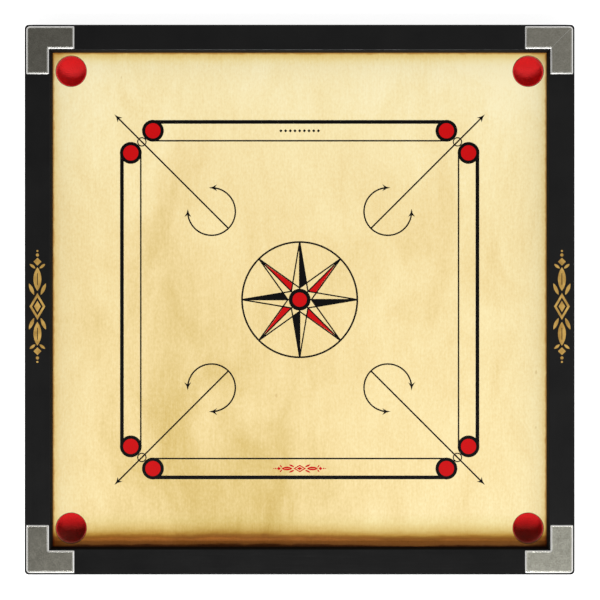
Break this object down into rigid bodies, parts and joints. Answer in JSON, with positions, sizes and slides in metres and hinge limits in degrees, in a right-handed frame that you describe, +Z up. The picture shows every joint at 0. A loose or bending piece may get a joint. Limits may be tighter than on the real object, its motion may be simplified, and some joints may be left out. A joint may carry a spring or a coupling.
{
  "type": "carrom board",
  "caption": "Square wooden board for flicked-disc games: a raised black rail around a pale printed playing surface, with a round cloth-lined pocket in every corner and battens underneath.",
  "frame": {"origin": "middle of the underside, on the plane that the board lies on", "axes": "+Z up; +Y towards the far rail, called north; +X towards the right-hand rail, called east"},
  "size_m": [0.8128, 0.8128, 0.052],
  "materials": {
    "birch_ply": "clear satin lacquer on pale veneer",
    "black_lacquer": "satin black lacquer on hardwood",
    "pine": "bare planed softwood",
    "corner_steel": "brushed, slightly mottled, with bright bevels",
    "red_cloth": "plain woven cotton",
    "tack_steel": "blued steel",
    "screw_steel": "yellow zinc plate",
    "black_ink": "screen-printed ink",
    "red_ink": "screen-printed ink",
    "gold_film": "gold transfer film"
  },
  "bodies": {
    "root": {"playing_surface": "birch_ply", "rail_north": "black_lacquer", "rail_west": "black_lacquer", "rail_south": "black_lacquer", "rail_east": "black_lacquer", "mitre_spline_ne": "pine", "mitre_spline_nw": "pine", "mitre_spline_sw": "pine", "mitre_spline_se": "pine", "corner_plate_ne": "corner_steel", "corner_plate_nw": "corner_steel", "corner_plate_sw": "corner_steel", "corner_plate_se": "corner_steel", "batten_north": "pine", "batten_south": "pine", "cross_batten_west": "pine", "cross_batten_east": "pine", "pocket_bag_ne": "red_cloth", "pocket_bag_nw": "red_cloth", "pocket_bag_sw": "red_cloth", "pocket_bag_se": "red_cloth", "pocket_tacks_ne": "tack_steel", "pocket_tacks_nw": "tack_steel", "pocket_tacks_sw": "tack_steel", "pocket_tacks_se": "tack_steel", "panel_screws_north": "screw_steel", "panel_screws_west": "screw_steel", "panel_screws_south": "screw_steel", "panel_screws_east": "screw_steel", "batten_screws": "screw_steel", "print_base_lines": "black_ink", "print_base_circles": "black_ink", "print_arrows": "black_ink", "print_centre_ring": "black_ink", "print_star_black": "black_ink", "print_hub_ring": "black_ink", "print_north_mark": "black_ink", "print_base_discs": "red_ink", "print_star_red": "red_ink", "print_hub_disc": "red_ink", "print_south_mark": "red_ink", "ornament_west": "gold_film", "ornament_east": "gold_film"}
  },
  "joints": []
}
